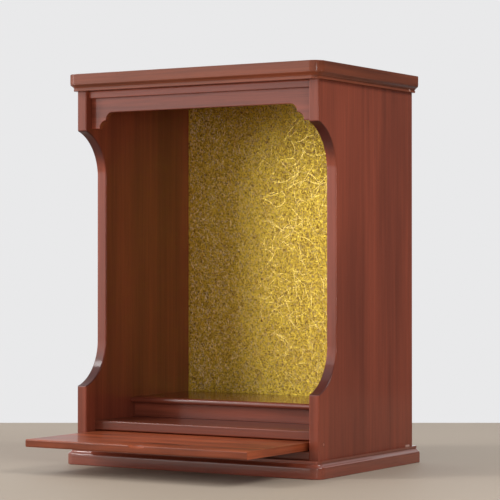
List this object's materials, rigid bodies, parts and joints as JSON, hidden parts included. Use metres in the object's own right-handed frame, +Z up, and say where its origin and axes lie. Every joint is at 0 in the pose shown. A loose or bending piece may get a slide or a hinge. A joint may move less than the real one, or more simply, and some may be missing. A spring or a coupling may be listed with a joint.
{
  "type": "household altar cabinet",
  "caption": "Open-fronted wooden altar cabinet with moulded top and base, cut-back sides, stepped floor, gold fibre-paper back and a pull-out offering shelf.",
  "frame": {"origin": "middle of the base board's underside", "axes": "+X to the cabinet's right as one faces it, +Y towards the back, +Z up"},
  "size_m": [0.318, 0.318, 0.42],
  "materials": {
    "varnished_wood": "red-brown stain under satin varnish, fine grain, paler along the edges",
    "shelf_wood": "lighter red-brown stain under satin varnish",
    "plain_wood": "thin matt-stained board",
    "gold_paper": "gold fibre paper, crinkled ground with raised bright fibres"
  },
  "bodies": {
    "cabinet": {"base_board": "varnished_wood", "top_board": "varnished_wood", "side_panel_left": "varnished_wood", "side_panel_right": "varnished_wood", "back_panel": "plain_wood", "gold_paper": "gold_paper", "shelf_bed": "varnished_wood", "floor_board": "varnished_wood", "step_riser": "varnished_wood", "step_board": "varnished_wood", "header_rail": "varnished_wood", "apron": "varnished_wood"},
    "offering_shelf": {"offering_shelf": "shelf_wood"}
  },
  "joints": [
    {"name": "shelf_slide", "type": "slide", "parent": "cabinet", "child": "offering_shelf", "axis": [0, 1, 0], "range_m": [0, 0.111]}
  ]
}
